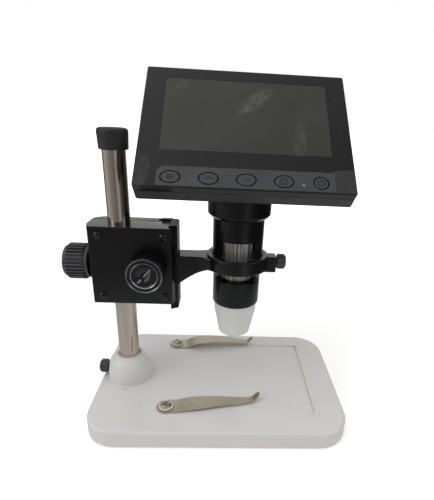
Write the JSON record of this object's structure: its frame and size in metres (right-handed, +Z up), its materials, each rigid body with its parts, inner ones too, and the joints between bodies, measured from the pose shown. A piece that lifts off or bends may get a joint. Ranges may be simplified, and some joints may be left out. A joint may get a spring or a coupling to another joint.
{
  "type": "digital microscope",
  "caption": "Bench microscope with a tilted display on its tube, held by a rack-and-pinion focus block on a steel column over a flat base with two spring clips.",
  "frame": {"origin": "on the table under the middle of the base, on the level that the feet stand on", "axes": "+X to the user's right along the base, +Y to the rear, +Z up"},
  "size_m": [0.1834, 0.113, 0.2141],
  "materials": {
    "base_plastic": "moulded ABS, fine texture",
    "rubber": "matt",
    "screw_steel": "zinc plated",
    "plate_steel": "rolled",
    "polished_steel": "polished",
    "white_nylon": "natural",
    "spring_steel": "nickel plated",
    "knob_plastic": "moulded, satin",
    "block_alloy": "black anodised, satin",
    "brass": "turned",
    "tube_plastic": "moulded, satin",
    "silver_alloy": "knurled, bright",
    "lens_glass": "coated",
    "circuit_board": "solder mask",
    "led_resin": "clear resin",
    "clear_plastic": "clear polycarbonate, slightly frosted",
    "panel_gloss": "high gloss",
    "strip_plastic": "printed film, satin",
    "screen_glass": "polarising film, off",
    "battery_foil": "foil pouch",
    "key_plastic": "moulded, satin"
  },
  "bodies": {
    "base": {"base_cover": "base_plastic", "base_plate": "base_plastic", "rubber_feet": "rubber", "base_screws": "screw_steel", "ballast": "plate_steel", "column_ferrule": "polished_steel", "clip_washers": "white_nylon", "clip_screws": "screw_steel"},
    "clip_front": {"stage_clip_front": "spring_steel"},
    "clip_rear": {"stage_clip_rear": "spring_steel"},
    "base_lock": {"base_lock_screw": "knob_plastic"},
    "column": {"column": "polished_steel", "column_cap": "knob_plastic"},
    "sleeve": {"column_sleeve": "white_nylon"},
    "block": {"block_body": "block_alloy", "block_back_cover": "block_alloy", "block_screws": "screw_steel", "shaft_bearing": "brass"},
    "lock": {"lock_knob": "knob_plastic", "lock_stud": "screw_steel"},
    "focus_drive": {"pinion_shaft": "screw_steel", "focus_knob": "knob_plastic", "focus_knob_disc": "knob_plastic"},
    "slider": {"focus_slider": "block_alloy", "focus_rack": "brass", "arm_screws": "screw_steel", "clamp_arm": "block_alloy"},
    "ring_lock": {"ring_screw": "knob_plastic"},
    "liner": {"ring_liner": "knob_plastic"},
    "head": {"tube": "tube_plastic", "neck": "tube_plastic", "led_holder": "knob_plastic", "led_board": "circuit_board", "leds": "led_resin", "sensor_board": "circuit_board", "front_panel": "panel_gloss", "key_strip": "strip_plastic", "lcd_module": "screen_glass", "rear_housing": "tube_plastic", "housing_screws": "screw_steel", "main_board": "circuit_board", "battery": "battery_foil", "key_board": "circuit_board", "status_lamp": "led_resin", "power_socket": "screw_steel", "card_slot": "screw_steel"},
    "fine_focus": {"focus_ring": "silver_alloy"},
    "lens": {"lens_carrier": "tube_plastic", "lens": "lens_glass"},
    "nose": {"nose_cover": "clear_plastic"},
    "key_menu": {"key_menu": "key_plastic"},
    "key_up": {"key_up": "key_plastic"},
    "key_down": {"key_down": "key_plastic"},
    "key_ok": {"key_ok": "key_plastic"},
    "key_power": {"key_power": "key_plastic"},
    "dimmer": {"dimmer_wheel": "knob_plastic"}
  },
  "joints": [
    {"name": "column_turn", "type": "hinge", "parent": "base", "child": "column", "pos_m": [-0.0646, 0.001, 0.02], "axis": [0, 0, 1], "continuous": true},
    {"name": "base_lock_turn", "type": "hinge", "parent": "base", "child": "base_lock", "pos_m": [-0.0835, 0.001, 0.0191], "axis": [-1, 0, 0], "range_deg": [0, 360]},
    {"name": "block_height", "type": "slide", "parent": "column", "child": "sleeve", "axis": [0, 0, 1], "range_m": [-0.006, 0.042]},
    {"name": "block_turn", "type": "hinge", "parent": "sleeve", "child": "block", "pos_m": [-0.0646, 0.001, 0.1], "axis": [0, 0, 1], "continuous": true},
    {"name": "lock_knob_turn", "type": "hinge", "parent": "block", "child": "lock", "pos_m": [-0.093, 0.001, 0.1], "axis": [-1, 0, 0], "range_deg": [0, 180]},
    {"name": "focus_slide", "type": "slide", "parent": "block", "child": "slider", "axis": [0, 0, 1], "range_m": [-0.008, 0.026]},
    {"name": "focus_knob_turn", "type": "hinge", "parent": "block", "child": "focus_drive", "pos_m": [-0.0461, 0, 0.1015], "axis": [0, -1, 0], "range_deg": [-82, 266.5]},
    {"name": "ring_screw_turn", "type": "hinge", "parent": "slider", "child": "ring_lock", "pos_m": [0.0375, 0.001, 0.104], "axis": [1, 0, 0], "range_deg": [0, 360]},
    {"name": "head_turn", "type": "hinge", "parent": "slider", "child": "liner", "pos_m": [0.009, 0.001, 0.104], "axis": [0, 0, 1], "range_deg": [-120, 120]},
    {"name": "head_height", "type": "slide", "parent": "liner", "child": "head", "axis": [0, 0, 1], "range_m": [-0.009, 0.005]},
    {"name": "focus_ring_turn", "type": "hinge", "parent": "head", "child": "fine_focus", "pos_m": [0.009, 0.001, 0.104], "axis": [0, 0, 1], "range_deg": [-150, 150]},
    {"name": "lens_travel", "type": "slide", "parent": "head", "child": "lens", "axis": [0, 0, 1], "range_m": [-0.0041, 0.0041]},
    {"name": "nose_slide", "type": "slide", "parent": "head", "child": "nose", "axis": [0, 0, -1], "range_m": [0, 0.005]},
    {"name": "key_menu_press", "type": "slide", "parent": "head", "child": "key_menu", "axis": [0, 0.682, -0.7314], "range_m": [0, 0.0006], "stiffness_N_per_m": 900, "springref_m": -0.0003},
    {"name": "key_up_press", "type": "slide", "parent": "head", "child": "key_up", "axis": [0, 0.682, -0.7314], "range_m": [0, 0.0006], "stiffness_N_per_m": 900, "springref_m": -0.0003},
    {"name": "key_down_press", "type": "slide", "parent": "head", "child": "key_down", "axis": [0, 0.682, -0.7314], "range_m": [0, 0.0006], "stiffness_N_per_m": 900, "springref_m": -0.0003},
    {"name": "key_ok_press", "type": "slide", "parent": "head", "child": "key_ok", "axis": [0, 0.682, -0.7314], "range_m": [0, 0.0006], "stiffness_N_per_m": 900, "springref_m": -0.0003},
    {"name": "key_power_press", "type": "slide", "parent": "head", "child": "key_power", "axis": [0, 0.682, -0.7314], "range_m": [0, 0.0006], "stiffness_N_per_m": 900, "springref_m": -0.0003},
    {"name": "dimmer_turn", "type": "hinge", "parent": "head", "child": "dimmer", "pos_m": [0.066, 0.02493, 0.19756], "axis": [0, -0.682, 0.7314], "range_deg": [-135, 135]},
    {"name": "clip_front_turn", "type": "hinge", "parent": "base", "child": "clip_front", "pos_m": [-0.0345, -0.0345, 0.0132], "axis": [0, 0, 1], "range_deg": [-25, 25]},
    {"name": "clip_rear_turn", "type": "hinge", "parent": "base", "child": "clip_rear", "pos_m": [-0.035, 0.04, 0.0132], "axis": [0, 0, 1], "range_deg": [-25, 25]}
  ],
  "couplings": [
    {"joint": "focus_knob_turn", "follows": "focus_slide", "rad_per_m": 178.57},
    {"joint": "lens_travel", "follows": "focus_ring_turn", "m_per_rad": 0.0015279}
  ]
}
